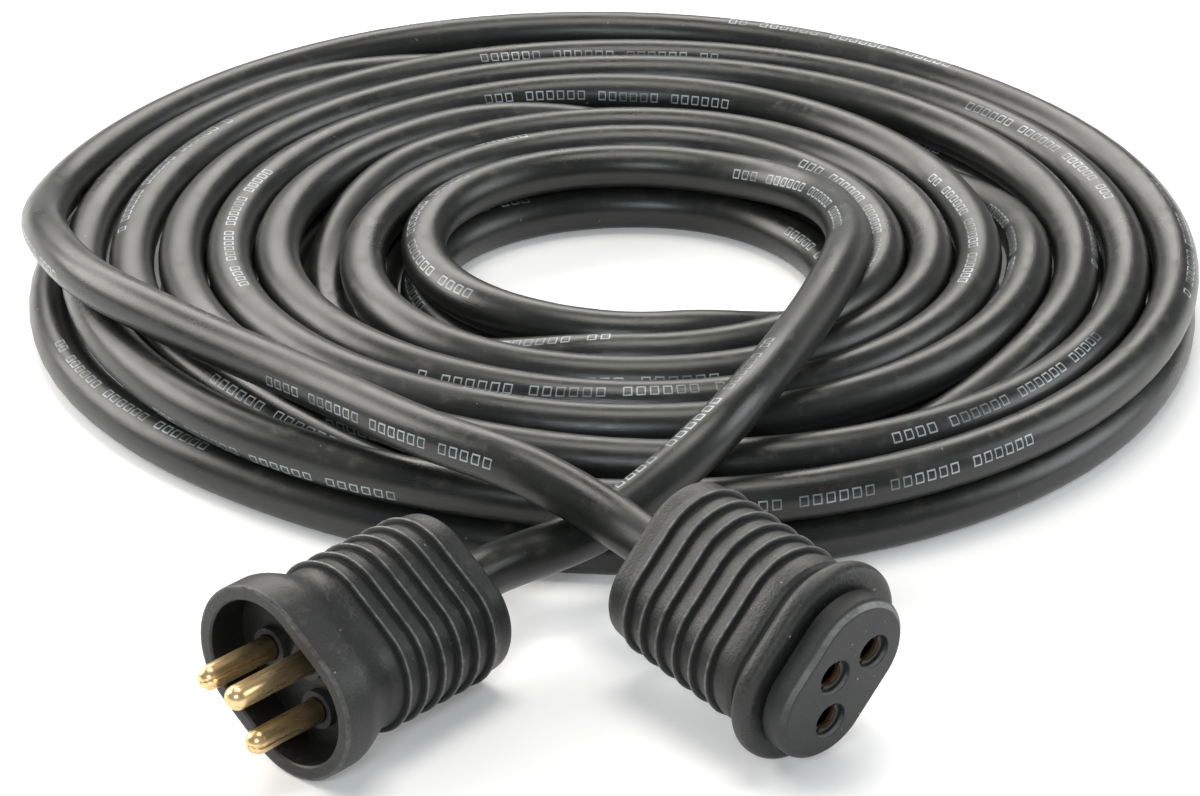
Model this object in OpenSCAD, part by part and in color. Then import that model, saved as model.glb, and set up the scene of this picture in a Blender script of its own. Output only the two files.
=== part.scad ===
// Three-core power cord: a moulded three-pin plug, a two-layer coil and a moulded three-hole socket.
// +Z is up. The origin lies on the resting surface, under the middle of the whole cord.
// Both connectors are oblong, and each is modelled about its own axis: its front face is at z = 0,
// its body runs back along -z, and depths are measured back from the front face.

/* [Cord] */
// Outside diameter of the round jacket
cord_d = 9.8; // [9:0.1:10.4]
// Diameter of one insulated core
core_d = 3; // [2.6:0.1:3.2]
// Diameter of the bare copper strands of one core
copper_d = 1.5; // [1.2:0.1:1.7]
// Gap between neighbouring cores where they leave the jacket
core_gap = 0.2; // [0.1:0.05:0.4]

/* [Coil] */
// Radius of the innermost turn, to the middle of the cord
coil_inner_r = 43; // [42:0.5:48]
// Sideways gap between neighbouring turns
turn_gap = 0.65; // [0.5:0.05:0.8]
// Extra height of the upper layer over one cord diameter
layer_gap = 0.6; // [0.5:0.05:0.8]
// How far all turns swell out on the side where the socket's end leaves
swell = 3.5; // [0:0.5:5]

/* [Connectors] */
// Distance between the centres of the two round ends of every oblong outline
end_span = 10.4; // [9:0.2:12]
// Radius of the ends of the plug's mouth
mouth_r = 14.1; // [13.5:0.1:15]
// Wall of the shroud at the mouth
lip_wall = 2.8; // [2:0.1:3.2]
// Depth of the shroud
shroud_depth = 8; // [7:0.5:9]
// Length of the straight band behind the mouth
lip_len = 5.5; // [4:0.5:7]
// End radius at the plug's waist
waist_r = 10.9; // [10.4:0.1:11.1]
// Depth of the waist
waist_depth = 15.5; // [14:0.5:16.5]
// Depth of the plug's first rib
plug_rib_depth = 18; // [17.5:0.5:20]
// End radius of the socket's flange
flange_r = 14.5; // [13.5:0.1:15]
// Thickness of the socket's flange
flange_len = 4.6; // [4:0.2:5]
// Length of the socket's nose in front of its neck
nose_len = 5.2; // [4:0.2:6]
// Width of the bevel round the nose's face
nose_bevel = 1.3; // [1:0.1:2.2]
// Gap all round the nose when it is pushed into the shroud
nose_gap = 0.3; // [0.2:0.05:0.6]
// Depth of the socket's first rib
socket_rib_depth = 19; // [18:0.5:21]

/* [Grip] */
// Radius at the foot of the ribs
grip_r = 11.1; // [10.8:0.1:11.4]
// Height of a rib over its foot
rib_rise = 0.8; // [0.4:0.1:1.2]
// Height of the bead along a rib's front edge
bead_rise = 0.27; // [0.1:0.01:0.4]
// Distance from one rib to the next
rib_pitch = 4.5; // [4:0.1:5]
// Number of ribs, the last of which is the edge of the plain rear block
rib_count = 6; // [5:1:7]
// Length of the plain rear block
rear_len = 6.2; // [5:0.2:8]
// Rounding of the rear block's edge
rear_round = 1.6; // [0.8:0.1:2.2]

/* [Contacts] */
// Diameter of the three pins
pin_d = 4.6; // [4:0.1:4.8]
// Sideways place of the two outer pins
pin_x = 7.15; // [6.8:0.05:7.4]
// Height of the two outer pins under the axis
outer_drop = 2.85; // [2.4:0.05:3.2]
// Height of the earth pin over the axis
earth_rise = 3; // [2.6:0.1:3.4]
// How far the two outer pins stand out of the mouth
outer_reach = 10.4; // [8:0.2:12]
// How far the earth pin stands out of the mouth
earth_reach = 12.8; // [11:0.2:14]
// Extra radius of a pin's root inside its collar
root_step = 0.2; // [0.1:0.05:0.3]
// Outer radius of the collar round a pin
collar_r = 3.6; // [3.3:0.1:3.8]
// Depth of the collars' tops
collar_depth = 6.5; // [6.2:0.1:7]
// Running gap between a pin and its contact sleeve, on the radius
contact_gap = 0.05; // [0.02:0.01:0.08]
// Wall of a contact sleeve
sleeve_wall = 0.6; // [0.4:0.05:0.7]
// How far a sleeve is set back in its hole
sleeve_setback = 1.2; // [0.8:0.1:2]
// Width of the slots that make a sleeve springy
slot_w = 0.8; // [0.4:0.1:1]
// Length of the slots
slot_len = 11; // [8:0.5:13]
// Radius of a hole's mouth in the socket's face
hole_mouth_r = 3.4; // [3.2:0.05:3.5]
// Outer radius of a crimp barrel
crimp_r = 2; // [1.6:0.1:2.4]
// Length of a crimp barrel
crimp_len = 9; // [7:0.5:10]
// Length of the copper inside a crimp barrel
crimp_bite = 6; // [4:0.5:7]

/* [Fits] */
// Clearance of pieces that seat in each other
seat_gap = 0.05; // [0.02:0.01:0.1]
// Wall between the chamber and the surface of the grip's rear
rear_wall = 10.7; // [10:0.1:12]
// Length of jacket held in a connector
jacket_in = 8.7; // [8:0.1:9.6]

/* [Hidden] */
$fn = 64;

rubber = "#202224";
soft_rubber = "#2b2d2f";
collar_grey = "#4a4c4e";
brass = "#c09a55";
bronze = "#a8703c";
copper = "#b8683a";
jacket_black = "#242628";

// Middle of the coil, seen from the origin
coil_x = 6.9;
coil_y = 35.1;

// Lie of the connectors: front face in the coil's own frame, turn about +Z, tilt up, roll about the axis
plug_x = -65.3;
plug_y = -185.8;
plug_turn = -130.5;
plug_tilt = 2;
plug_roll = -35.5;
socket_x = 35;
socket_y = -186;
socket_turn = -49.9;
socket_tilt = -5.5;
socket_roll = 50.6;

// Fixed steps of the mouldings
edge_round = 0.6;
floor_thickness = 3;
chamber_r = 7.2;
plate_r = chamber_r - 2 * seat_gap;
bridge_thickness = 5;
shoulder_r = 3.1;
shoulder_len = 2;
neck_len = 0.8;
neck_inset = 1.4;
insert_inset = 2;
insert_depth = 16;
back_thickness = 4;
sleeve_floor = 1.5;
groove_len = 1.2;
groove_cut = 0.2;
groove_lead = 1;
flange_round = 1.6;
flange_crown = 0.2;
flange_fall = 1.2;
band_rise = 0.55;
band_round = 1.2;
band_setback = 2.2;
nose_round = 0.3;
bevel_fall = 0.25;
rear_step = 2.2;
sleeve_lip = 0.3;
sleeve_spare = 1.5;
rib_lead = 0.4;
bead_len = 0.7;
core_stub = 1.5;
knee_swell = 0.06;

// Radii and depths that follow from the sizes above
cord_r = cord_d / 2;
core_r = core_d / 2;
pin_r = pin_d / 2;
root_r = pin_r + root_step;
shroud_r = mouth_r - lip_wall;
nose_r = shroud_r - nose_gap;
bore_r = pin_r + contact_gap;
sleeve_r = bore_r + sleeve_wall;
flange_depth = nose_len + neck_len;
flange_back = flange_depth + flange_len;
groove_front = flange_back + groove_lead;
ribs_len = (rib_count - 1) * rib_pitch + rear_len;
plug_rear = plug_rib_depth + ribs_len;
socket_rear = socket_rib_depth + ribs_len;
bridge_front = shroud_depth + floor_thickness + seat_gap;
bridge_back = bridge_front + bridge_thickness;
pin_shoulder = bridge_back + seat_gap;
pin_barrel = pin_shoulder + shoulder_len;
sleeve_front = sleeve_setback + seat_gap;
back_front = insert_depth + seat_gap;
sleeve_shoulder = back_front + back_thickness + seat_gap;
sleeve_bore_end = flange_depth + earth_reach + sleeve_spare;
sleeve_barrel = max(sleeve_shoulder + shoulder_len, sleeve_bore_end + sleeve_floor);

// Places of the pins, and of the cores at the jacket's end, in the order line, neutral, earth
PIN_XY = [[pin_x, -outer_drop], [-pin_x, -outer_drop], [0, earth_rise]];
SOCKET_XY = [for (p = PIN_XY) [-p[0], p[1]]];
core_ring = (core_r + core_gap / 2) / sin(60);
CORE_XY = [for (a = [-30, 210, 90]) core_ring * [cos(a), sin(a)]];
CORE_COLORS = ["#26282b", "#d9d9d4", "#2f7d45"];

// Height of a face centre at which a band of end radius r, at the given depth, rests on z = 0
function rest_height(r, roll, tilt, depth) =
    (end_span / 2 * abs(sin(roll)) + r) * cos(tilt) + depth * sin(tilt);
plug_face = [plug_x, plug_y, rest_height(mouth_r, plug_roll, plug_tilt, lip_len)];
socket_face = [
    socket_x, socket_y,
    rest_height(flange_r, socket_roll, socket_tilt, flange_depth + flange_len * 0.3)
];

// ---- The coil: each turn pair steps down, out, up and out again, so both ends lie in the top layer ----
// The last three steps have places of their own: the lower outermost turn leans out under the free end.
columns = 8;
turn_pitch = cord_d + turn_gap;
layer_step = cord_d + layer_gap;
ring_sides = 6;
ring_step = 15;
start_angle = 75;
end_angle = 5175;
first_change = 310;
change_lead = 36;
out_span = 100;
layer_span = 60;
lean_change = 14;
lean_from = 4442;
lean_span = 46;
lean_end = 4515;
lean_back = 40;
lean_out = 5;
last_rise = 4792;
last_rise_span = 50;
last_out = 5124;
last_out_span = 85;
swell_azimuth = 172;
swell_width = 85;
low_z = cord_r * cos(180 / ring_sides);

function clamp01(x) = min(1, max(0, x));
function ease(x) = let (c = clamp01(x)) c * c * (3 - 2 * c);
function change_at(n) =
    n == lean_change ? lean_from + lean_span / 2
    : n == lean_change + 1 ? last_rise
    : n == lean_change + 2 ? last_out
    : first_change + (n - 1) * (360 - change_lead);
function change_span(n) =
    n == lean_change ? lean_span
    : n == lean_change + 1 ? last_rise_span
    : n == lean_change + 2 ? last_out_span
    : n % 2 == 0 ? out_span : layer_span;
function change_done(n, a) = ease((a - change_at(n)) / change_span(n) + 0.5);
function sum_of(v, i = 0) = i < len(v) ? v[i] + sum_of(v, i + 1) : 0;
function steps_out(a) = sum_of([for (n = [2:2:2 * columns]) change_done(n, a)]);
function layer_at(a) =
    1 + sum_of([for (n = [1:2:2 * columns - 1]) (n % 4 == 1 ? -1 : 1) * change_done(n, a)]);
function lean(a) =
    lean_out * ease((a - lean_from) / lean_span) * (1 - ease((a - lean_end) / lean_back));
function from_swell(a) = abs((a - swell_azimuth + 180) % 360 - 180);
function turn_r(a) =
    coil_inner_r + turn_pitch * steps_out(a) + swell * (1 - ease(from_swell(a) / swell_width)) + lean(a);
function turn_point(a) = [
    turn_r(a) * cos(a),
    turn_r(a) * sin(a),
    low_z + layer_step * layer_at(a)
];
COIL = [for (a = [start_angle:ring_step:end_angle]) turn_point(a)];

// ---- The two free ends, as points in the coil's own frame ----
straight_len = 12;
coil_lead = 1;
route_steps = 3;
tail_sides = 10;
function unit(v) = v / norm(v);
function back_of(turn, tilt) = -[cos(turn) * cos(tilt), sin(turn) * cos(tilt), sin(tilt)];
plug_exit = plug_face + plug_rear * back_of(plug_turn, plug_tilt);
socket_exit = socket_face + socket_rear * back_of(socket_turn, socket_tilt);
coil_start_dir = unit(COIL[1] - COIL[0]);
coil_end_dir = unit(COIL[len(COIL) - 1] - COIL[len(COIL) - 2]);
coil_start = COIL[0];
coil_end = COIL[len(COIL) - 1];
PLUG_ROUTE = concat(
    [plug_exit, plug_exit + straight_len * back_of(plug_turn, plug_tilt)],
    [
        [-10, -129.5, 16.5], [5.5, -120.5, 24], [14.5, -111, 28.5], [25.5, -88.5, 30], [32.5, -67, 28],
        [37.5, -50, 26.5], [42, -33, 25.5], [45, -15.5, 23.5], [44, 3, 21], [38.5, 20.5, 18],
        [24.5, 34.5, 15.5]
    ],
    [coil_start - coil_lead * coil_start_dir, coil_start]
);
SOCKET_ROUTE = concat(
    [coil_end, coil_end + coil_lead * coil_end_dir],
    [
        [-109, 70, 15.5], [-122, 45, 17.5], [-128.5, 18.5, 20.5], [-128, -1.5, 22.5], [-122.5, -20.5, 24],
        [-113.5, -38, 25], [-101.5, -52, 25.5], [-87, -66, 25.5], [-71.5, -80.5, 26], [-55, -97.5, 27],
        [-39, -113.5, 28], [-22, -126.5, 28]
    ],
    [socket_exit + straight_len * back_of(socket_turn, socket_tilt), socket_exit]
);

// Smooth line through a route's points. Its first and last stretch stay straight.
function bend(a, b, c, d, t) =
    b + ((c - a) * t + (2 * a - 5 * b + 4 * c - d) * t * t + (3 * b - a - 3 * c + d) * t * t * t) / 2;
function smooth(p) = let (n = len(p)) concat(
    [p[0]],
    [
        for (i = [1:n - 3], k = [0:route_steps - 1])
            bend(p[i - 1], p[i], p[i + 1], p[i + 2], k / route_steps)
    ],
    [p[n - 2], p[n - 1]]
);

// ---- Sweeping a round cord along points ----
function heading(p, i) =
    i == 0 ? unit(p[1] - p[0])
    : i == len(p) - 1 ? unit(p[i] - p[i - 1])
    : unit(unit(p[i + 1] - p[i]) + unit(p[i] - p[i - 1]));
function ring_at(p, i, r, sides) =
    let (ahead = heading(p, i), side = unit(cross(ahead, [0, 0, 1])), up = cross(side, ahead))
    [for (k = [0:sides - 1]) let (a = 360 * k / sides) p[i] + r * (cos(a) * side + sin(a) * up)];

module sweep(p, r, sides) {
    last = (len(p) - 1) * sides;
    rings = [for (i = [0:len(p) - 1]) each ring_at(p, i, r, sides)];
    walls = [
        for (i = [0:len(p) - 2], k = [0:sides - 1])
            let (a = i * sides + k, b = i * sides + (k + 1) % sides)
            each [[a, a + sides, b + sides], [a, b + sides, b]]
    ];
    start_cap = [for (k = [1:sides - 2]) [0, k, k + 1]];
    end_cap = [for (k = [1:sides - 2]) [last, last + k + 1, last + k]];
    polyhedron(rings, concat(walls, start_cap, end_cap));
}

// Least gap of the coil to itself: each ring's middle against every stretch over a third of a turn away
function to_stretch(q, a, b) =
    let (t = clamp01((q - a) * (b - a) / ((b - a) * (b - a))))
    norm(q - a - t * (b - a));
function coil_gap() =
    let (away = 120 / ring_step, n = len(COIL))
    min([for (i = [0:n - 1], j = [i + away:n - 2]) to_stretch(COIL[i], COIL[j], COIL[j + 1])]) - cord_d;

// ---- Placing ----
module on_floor() {
    translate([coil_x, coil_y, 0]) children();
}

module lie(face, turn, tilt, roll) {
    on_floor() translate(face) rotate([0, 90 - tilt, turn]) rotate([0, 0, 90 + roll]) children();
}

module at_plug() {
    lie(plug_face, plug_turn, plug_tilt, plug_roll) children();
}

module at_socket() {
    lie(socket_face, socket_turn, socket_tilt, socket_roll) children();
}

// ---- Oblong bodies ----
module oblong(r) {
    for (side = [-1, 1]) translate([side * end_span / 2, 0]) circle(r);
    square([end_span, 2 * r], center = true);
}

// Straight oblong block between two depths
module oblong_block(r, front, back) {
    translate([0, 0, -back]) linear_extrude(back - front) oblong(r);
}

// Oblong body with the outline given as [radius, depth] points; it is solid to its middle
module oblong_body(outline) {
    top = outline[0][1];
    bottom = outline[len(outline) - 1][1];
    half = concat([[0, -top]], [for (q = outline) [q[0], -q[1]]], [[0, -bottom]]);
    both = concat(
        [for (q = outline) [q[0], -q[1]]],
        [for (i = [len(outline) - 1:-1:0]) [-outline[i][0], -outline[i][1]]]
    );
    translate([end_span / 2, 0, 0]) rotate([0, 0, -90]) rotate_extrude(angle = 180) polygon(half);
    translate([-end_span / 2, 0, 0]) rotate([0, 0, 90]) rotate_extrude(angle = 180) polygon(half);
    translate([-end_span / 2, 0, 0]) rotate([90, 0, 90]) linear_extrude(end_span) polygon(both);
}

function arc_points(r, depth, radius, from, to, steps = 4) = [
    for (k = [0:steps])
        let (a = from + (to - from) * k / steps)
        [r + radius * cos(a), depth - radius * sin(a)]
];

// Outline of one shingled rib, whose beaded edge is at the given depth, towards the front
function rib_points(depth) = [
    [grip_r, depth - rib_lead],
    [grip_r + rib_rise + bead_rise * 0.6, depth - 0.05],
    [grip_r + rib_rise + bead_rise, depth + bead_len * 0.4],
    [grip_r + rib_rise, depth + bead_len]
];

// Outline of all ribs and the rear block behind them
function grip_outline(first) =
    let (last = first + (rib_count - 1) * rib_pitch, rear = last + rear_len)
    concat(
        [for (i = [0:rib_count - 1]) each rib_points(first + i * rib_pitch)],
        [[grip_r + rib_rise * 0.4, last + rear_step]],
        arc_points(grip_r + rib_rise * 0.2 - rear_round, rear - rear_round, rear_round, 0, -90)
    );

// Room inside a grip: chamber between two depths, then the bore for the jacket out to the rear
module grip_room(front, rear) {
    oblong_block(chamber_r, front, rear - rear_wall);
    translate([0, 0, -rear - 1]) cylinder(r = cord_r + seat_gap, h = rear_wall + 2);
}

// ---- Plug ----
function taper(t) = [
    waist_r + (mouth_r - waist_r) * (1 - ease(t)),
    lip_len + t * (waist_depth - lip_len)
];
PLUG_OUTLINE = concat(
    arc_points(mouth_r - edge_round, edge_round, edge_round, 90, 0, 3),
    [for (k = [0:7]) taper(k / 7)],
    grip_outline(plug_rib_depth)
);

module plug_grip() {
    color(rubber) at_plug() difference() {
        oblong_body(PLUG_OUTLINE);
        oblong_block(shroud_r, -1, shroud_depth);
        for (p = PIN_XY) {
            translate([p[0], p[1], -bridge_front - 1]) {
                cylinder(r = collar_r + seat_gap, h = floor_thickness + 2);
            }
        }
        grip_room(shroud_depth + floor_thickness, plug_rear);
    }
}

module plug_bridge() {
    color(collar_grey) at_plug() difference() {
        union() {
            oblong_block(plate_r, bridge_front, bridge_back);
            for (p = PIN_XY) {
                translate([p[0], p[1], -bridge_back + 1]) {
                    cylinder(r = collar_r, h = bridge_back - 1 - collar_depth);
                }
            }
        }
        for (p = PIN_XY) {
            translate([p[0], p[1], -bridge_back - 1]) {
                cylinder(r = root_r + seat_gap, h = bridge_back + 2);
            }
        }
    }
}

// Crimp barrel with its blind bore, from the given depth back
module crimp(depth) {
    difference() {
        translate([0, 0, -depth - crimp_len]) cylinder(r = crimp_r, h = crimp_len + 0.5);
        translate([0, 0, -depth - crimp_len - 1]) {
            cylinder(d = copper_d + 2 * seat_gap, h = crimp_bite + seat_gap + 1);
        }
    }
}

module pin(place, reach) {
    translate([place[0], place[1], 0]) {
        translate([0, 0, -collar_depth]) cylinder(r = pin_r, h = collar_depth + reach - pin_r);
        translate([0, 0, reach - pin_r]) sphere(r = pin_r);
        translate([0, 0, -pin_shoulder - 0.5]) {
            cylinder(r = root_r, h = pin_shoulder + 0.5 - collar_depth);
        }
        translate([0, 0, -pin_barrel]) cylinder(r = shoulder_r, h = shoulder_len);
        crimp(pin_barrel);
    }
}

module pin_line() {
    color(brass) at_plug() pin(PIN_XY[0], outer_reach);
}

module pin_neutral() {
    color(brass) at_plug() pin(PIN_XY[1], outer_reach);
}

module pin_earth() {
    color(brass) at_plug() pin(PIN_XY[2], earth_reach);
}

// ---- Cores, copper and jacket inside a connector ----
module rod(a, b, r) {
    d = b - a;
    translate(a) rotate([0, acos(d[2] / norm(d)), atan2(d[1], d[0])]) cylinder(r = r, h = norm(d));
}

// One insulated core from a crimp at depth front to the jacket's end at depth rear
module core(pin_xy, core_xy, front, rear) {
    knee_front = [pin_xy[0], pin_xy[1], -front - core_stub];
    knee_rear = [core_xy[0], core_xy[1], -rear + core_stub];
    translate([pin_xy[0], pin_xy[1], -front - core_stub]) cylinder(r = core_r, h = core_stub);
    translate(knee_front) sphere(r = core_r + knee_swell);
    rod(knee_front, knee_rear, core_r);
    translate(knee_rear) sphere(r = core_r + knee_swell);
    translate([core_xy[0], core_xy[1], -rear]) cylinder(r = core_r, h = core_stub);
}

// Bare strands of the three cores, each in its crimp
module strands(places, crimp_end) {
    for (p = places) {
        translate([p[0], p[1], -crimp_end - seat_gap]) cylinder(d = copper_d, h = crimp_bite + seat_gap);
    }
}

module jacket_end(rear) {
    translate([0, 0, -rear]) cylinder(r = cord_r, h = jacket_in);
}

plug_crimp_end = pin_barrel + crimp_len;
socket_crimp_end = sleeve_barrel + crimp_len;

module plug_core(i) {
    color(CORE_COLORS[i]) at_plug() {
        core(PIN_XY[i], CORE_XY[i], plug_crimp_end + seat_gap, plug_rear - jacket_in);
    }
}

module plug_copper() {
    color(copper) at_plug() strands(PIN_XY, plug_crimp_end);
}

module plug_jacket() {
    color(jacket_black) at_plug() jacket_end(plug_rear);
}

// ---- Socket ----
SOCKET_OUTLINE = concat(
    [[grip_r, flange_depth]],
    arc_points(
        flange_r - flange_round - flange_crown, flange_depth + flange_round, flange_round, 90, 10, 3
    ),
    [
        [flange_r, flange_depth + flange_len * 0.45],
        [flange_r - flange_crown / 2, flange_back - flange_fall],
        [flange_r - flange_fall, flange_back],
        [grip_r - groove_cut, groove_front],
        [grip_r - groove_cut, groove_front + groove_len],
        [grip_r + band_rise, groove_front + groove_len + band_round],
        [grip_r + band_rise, socket_rib_depth - band_setback]
    ],
    grip_outline(socket_rib_depth)
);

module socket_grip() {
    color(rubber) at_socket() difference() {
        oblong_body(SOCKET_OUTLINE);
        oblong_block(nose_r - insert_inset + seat_gap, flange_depth - 1, insert_depth + seat_gap);
        grip_room(insert_depth - 1, socket_rear);
    }
}

module socket_insert() {
    outline = [
        [nose_r - nose_bevel, 0],
        [nose_r - bevel_fall, nose_bevel - bevel_fall],
        [nose_r, nose_bevel],
        [nose_r, nose_len - nose_round],
        [nose_r - nose_round, nose_len],
        [nose_r - neck_inset, nose_len],
        [nose_r - neck_inset, flange_depth - seat_gap],
        [nose_r - insert_inset, flange_depth - seat_gap],
        [nose_r - insert_inset, insert_depth]
    ];
    color(soft_rubber) at_socket() difference() {
        oblong_body(outline);
        for (p = SOCKET_XY) {
            translate([p[0], p[1], -insert_depth - 1]) {
                cylinder(r = sleeve_r + seat_gap, h = insert_depth + 2);
            }
            translate([p[0], p[1], -sleeve_setback]) cylinder(r = hole_mouth_r, h = sleeve_setback + 1);
        }
    }
}

module socket_back() {
    color(collar_grey) at_socket() difference() {
        oblong_block(plate_r, back_front, back_front + back_thickness);
        for (p = SOCKET_XY) {
            translate([p[0], p[1], -back_front - back_thickness - 1]) {
                cylinder(r = sleeve_r + seat_gap, h = back_thickness + 2);
            }
        }
    }
}

// Turned sleeve with a blind bore, two spring slots, a shoulder behind the carrier and a crimp
module contact(place) {
    translate([place[0], place[1], 0]) {
        difference() {
            union() {
                translate([0, 0, -sleeve_barrel]) {
                    cylinder(r = sleeve_r, h = sleeve_barrel - sleeve_front);
                }
                translate([0, 0, -sleeve_barrel]) {
                    cylinder(r = sleeve_r + sleeve_lip, h = sleeve_barrel - sleeve_shoulder);
                }
            }
            translate([0, 0, -sleeve_bore_end]) cylinder(r = bore_r, h = sleeve_bore_end + 1);
            translate([-sleeve_r - 1, -slot_w / 2, -sleeve_front - slot_len]) {
                cube([2 * sleeve_r + 2, slot_w, slot_len + 1]);
            }
        }
        crimp(sleeve_barrel);
    }
}

module contact_line() {
    color(bronze) at_socket() contact(SOCKET_XY[0]);
}

module contact_neutral() {
    color(bronze) at_socket() contact(SOCKET_XY[1]);
}

module contact_earth() {
    color(bronze) at_socket() contact(SOCKET_XY[2]);
}

module socket_core(i) {
    jacket_place = [-CORE_XY[i][0], CORE_XY[i][1]];
    color(CORE_COLORS[i]) at_socket() {
        core(SOCKET_XY[i], jacket_place, socket_crimp_end + seat_gap, socket_rear - jacket_in);
    }
}

module socket_copper() {
    color(copper) at_socket() strands(SOCKET_XY, socket_crimp_end);
}

module socket_jacket() {
    color(jacket_black) at_socket() jacket_end(socket_rear);
}

// ---- Cord ----
module cord_coil() {
    echo(coil_least_gap = coil_gap());
    color(jacket_black) on_floor() sweep(COIL, cord_r, ring_sides);
}

module plug_tail() {
    color(jacket_black) on_floor() sweep(smooth(PLUG_ROUTE), cord_r, tail_sides);
}

module socket_tail() {
    color(jacket_black) on_floor() sweep(smooth(SOCKET_ROUTE), cord_r, tail_sides);
}

cord_coil();
plug_tail();
socket_tail();
plug_grip();
plug_bridge();
pin_line();
pin_neutral();
pin_earth();
plug_core(0);  // plug_core_line
plug_core(1);  // plug_core_neutral
plug_core(2);  // plug_core_earth
plug_copper();
plug_jacket();
socket_grip();
socket_insert();
socket_back();
contact_line();
contact_neutral();
contact_earth();
socket_core(0);  // socket_core_line
socket_core(1);  // socket_core_neutral
socket_core(2);  // socket_core_earth
socket_copper();
socket_jacket();
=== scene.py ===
import math

import bmesh
import bpy
import numpy as np
from mathutils import Matrix, Vector


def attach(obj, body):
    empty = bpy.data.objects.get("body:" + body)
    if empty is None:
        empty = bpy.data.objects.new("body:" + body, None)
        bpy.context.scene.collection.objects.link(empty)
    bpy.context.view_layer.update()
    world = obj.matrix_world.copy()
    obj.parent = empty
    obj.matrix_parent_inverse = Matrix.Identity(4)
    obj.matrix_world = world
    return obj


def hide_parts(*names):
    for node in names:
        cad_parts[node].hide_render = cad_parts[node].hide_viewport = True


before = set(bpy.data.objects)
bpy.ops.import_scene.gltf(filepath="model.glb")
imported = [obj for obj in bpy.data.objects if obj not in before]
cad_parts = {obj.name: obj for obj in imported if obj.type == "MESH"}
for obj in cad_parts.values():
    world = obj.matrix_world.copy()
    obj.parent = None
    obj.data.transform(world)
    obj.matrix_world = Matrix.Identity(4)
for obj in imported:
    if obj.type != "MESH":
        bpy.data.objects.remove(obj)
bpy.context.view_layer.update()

MM = 0.001

# ---------------------------------------------------------------- camera
camera_data = bpy.data.cameras.new("camera")
camera_data.lens = 120.84
camera_data.sensor_width = 36.0
camera_data.clip_start = 0.05
camera_data.clip_end = 20.0
camera = bpy.data.objects.new("camera", camera_data)
camera.location = (-0.00096, -0.75643, 0.38703)
camera.rotation_euler = (math.radians(62.661), 0.0, 0.0)
bpy.context.collection.objects.link(camera)
bpy.context.scene.camera = camera

# ---------------------------------------------------------------- sizes in mm, as in the part's source
# In a connector's own frame x runs along the long axis, y along the short one and z out of the front face.
# Radii are those of the round ends of its oblong, and depths run back from the front face.
CORD_D = 9.8
END_SPAN = 10.4  # between the centres of the two round ends
RIBS, RIB_PITCH = 6, 4.5
GRIP_R, RIB_RISE, BEAD = 11.1, 0.8, 0.27
REAR_BLOCK = 6.2  # behind the last rib
JACKET_IN = 10.7  # from the rear face to the end of the jacket inside
ROOM_R = 7.2  # the room round the crimps

PLUG_RIB = 18.0
PLUG_REAR = PLUG_RIB + (RIBS - 1) * RIB_PITCH + REAR_BLOCK
MOUTH_R, MOUTH_IN, SHROUD_DEPTH = 14.1, 11.3, 8.0
LIP_LEN, WAIST_R, WAIST_DEPTH = 5.5, 10.9, 15.5
FLOOR_BACK = 11.0  # back of the wall that holds the collars
COLLAR_HOLE = 3.65

SOCKET_RIB = 19.0
SOCKET_REAR = SOCKET_RIB + (RIBS - 1) * RIB_PITCH + REAR_BLOCK
FLANGE_R, FLANGE_DEPTH, FLANGE_LEN = 14.5, 6.0, 4.6
NECK_R = 10.9  # the groove behind the flange
NOSE_R, NOSE_BACK = 11.0, 16.0
CARRIER_R = 9.05  # where the nose sits in the body

# place and reach of each pin; the socket's holes are their mirror image
PINS = [(7.15, -2.85, 10.4), (-7.15, -2.85, 10.4), (0.0, 3.0, 12.8)]
PIN_R = 2.3

# ---------------------------------------------------------------- how the two connectors lie
COIL_AT = np.array([6.9, 35.1, 0.0])


def turned(turn, tilt, roll):
    t, e, r = np.radians([turn, tilt, 90 + roll])

    def rz(a):
        c, s = np.cos(a), np.sin(a)
        return np.array([[c, -s, 0], [s, c, 0], [0, 0, 1.0]])

    a = np.pi / 2 - e
    c, s = np.cos(a), np.sin(a)
    ry = np.array([[c, 0, s], [0, 1, 0], [-s, 0, c]])
    return rz(t) @ ry @ rz(r)


def rest_height(r, roll, tilt, depth):
    """Height of the front face's middle when the oblong of radius r at this depth rests on the floor."""
    e = np.radians(tilt)
    return (END_SPAN / 2 * abs(np.sin(np.radians(roll))) + r) * np.cos(e) + depth * np.sin(e)


class Lie:
    """Where a connector lies: the middle of its front face, from the coil's middle, and its rotation."""

    def __init__(self, x, y, turn, tilt, roll, r, depth):
        self.rot = turned(turn, tilt, roll)
        self.at = COIL_AT + np.array([x, y, rest_height(r, roll, tilt, depth)])

    def place(self, points):
        return (self.at + np.asarray(points, float) @ self.rot.T) * MM

    def euler(self):
        return Matrix([[float(c) for c in row] for row in self.rot]).to_euler()


PLUG = Lie(-65.3, -185.8, -130.5, 2, -35.5, MOUTH_R, LIP_LEN)
SOCKET = Lie(35, -186, -49.9, -5.5, 50.6, FLANGE_R, FLANGE_DEPTH + FLANGE_LEN * 0.3)

# ---------------------------------------------------------------- the cord's route
# in mm, from the coil's middle
INNER_R = 43.0
COLUMN = CORD_D + 0.65
LAYER = CORD_D + 0.05
START, END = 75.0, 5175.0  # the coil's ends, in degrees wound
# middle and span of each step in degrees: even ones lead out, odd ones change the layer
CHANGES = {n: (310.0 + (n - 1) * 324.0, 100.0 if n % 2 == 0 else 60.0) for n in range(1, 14)}
CHANGES.update({14: (4465.0, 46.0), 15: (4792.0, 50.0), 16: (5124.0, 85.0)})
# the side where all turns swell out, and how far
SWELL_AT, SWELL_WIDTH, SWELL = 172, 85, 3.5
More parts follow.
